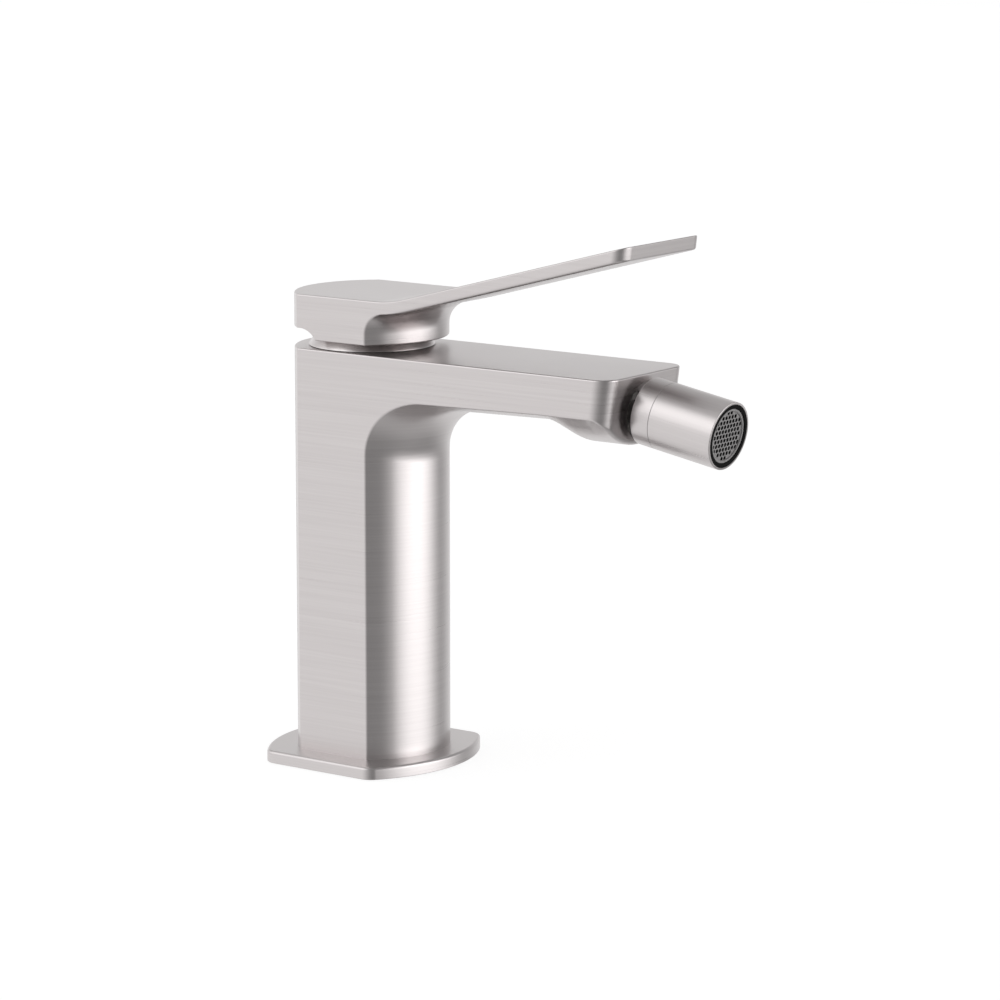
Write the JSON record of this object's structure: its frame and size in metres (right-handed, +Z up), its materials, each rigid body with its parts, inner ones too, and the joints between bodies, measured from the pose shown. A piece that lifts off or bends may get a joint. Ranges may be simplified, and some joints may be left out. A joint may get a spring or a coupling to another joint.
{
  "type": "bidet mixer",
  "caption": "Deck-mounted bidet mixer: column with bowed faces, flat spout, turning and lifting lever over a ceramic-disc cartridge, and an aerator nozzle on a ball joint.",
  "frame": {"origin": "column axis at the deck, the plane that the base plate stands on", "axes": "+Z up along the column, -Y towards the spout's tip, +X to the right seen from the spout"},
  "size_m": [0.0558, 0.1563, 0.1624],
  "materials": {
    "nickel": "brushed nickel",
    "brass": "turned",
    "steel": "plain",
    "rubber": "matt",
    "ceramic": "lapped",
    "white_plastic": "moulded",
    "grey_plastic": "moulded",
    "black_plastic": "moulded"
  },
  "bodies": {
    "mixer": {"body": "nickel", "base_plate": "nickel", "base_gasket": "rubber", "cartridge_base": "white_plastic", "port_seals": "rubber", "cartridge_housing": "white_plastic", "housing_seal": "rubber", "fixed_disc": "ceramic", "cartridge_nut": "brass", "trim_ring": "nickel", "ball_stem": "steel", "stem_seal": "rubber"},
    "rotor": {"rotor": "grey_plastic", "pivot_pin": "steel"},
    "lever": {"lever": "nickel", "stem": "steel", "grub_screw": "steel", "screw_plug": "nickel"},
    "discs": {"moving_disc": "ceramic", "disc_carrier": "grey_plastic"},
    "swivel": {"ball_liner": "white_plastic"},
    "nozzle": {"nozzle_collar": "nickel", "nozzle_sleeve": "nickel", "ball_seat": "white_plastic", "seat_seal": "rubber", "aerator_washer": "rubber", "aerator_housing": "black_plastic", "aerator_core": "grey_plastic", "aerator_screen": "grey_plastic"}
  },
  "joints": [
    {"name": "lever_turn", "type": "hinge", "parent": "mixer", "child": "rotor", "pos_m": [0, 0, 0.1135], "axis": [0, 0, 1], "range_deg": [-45, 45]},
    {"name": "lever_lift", "type": "hinge", "parent": "rotor", "child": "lever", "pos_m": [0, 0, 0.1135], "axis": [-1, 0, 0], "range_deg": [0, 15]},
    {"name": "disc_slide", "type": "slide", "parent": "rotor", "child": "discs", "axis": [0, -1, 0], "range_m": [0, 0.00191]},
    {"name": "nozzle_pan", "type": "hinge", "parent": "mixer", "child": "swivel", "pos_m": [0, -0.10385, 0.1129], "axis": [0, 0, 1], "range_deg": [-15, 15]},
    {"name": "nozzle_tilt", "type": "hinge", "parent": "swivel", "child": "nozzle", "pos_m": [0, -0.10385, 0.1129], "axis": [-1, 0, 0], "range_deg": [-5, 25]}
  ],
  "couplings": [
    {"joint": "disc_slide", "follows": "lever_lift", "m_per_rad": 0.0073}
  ]
}
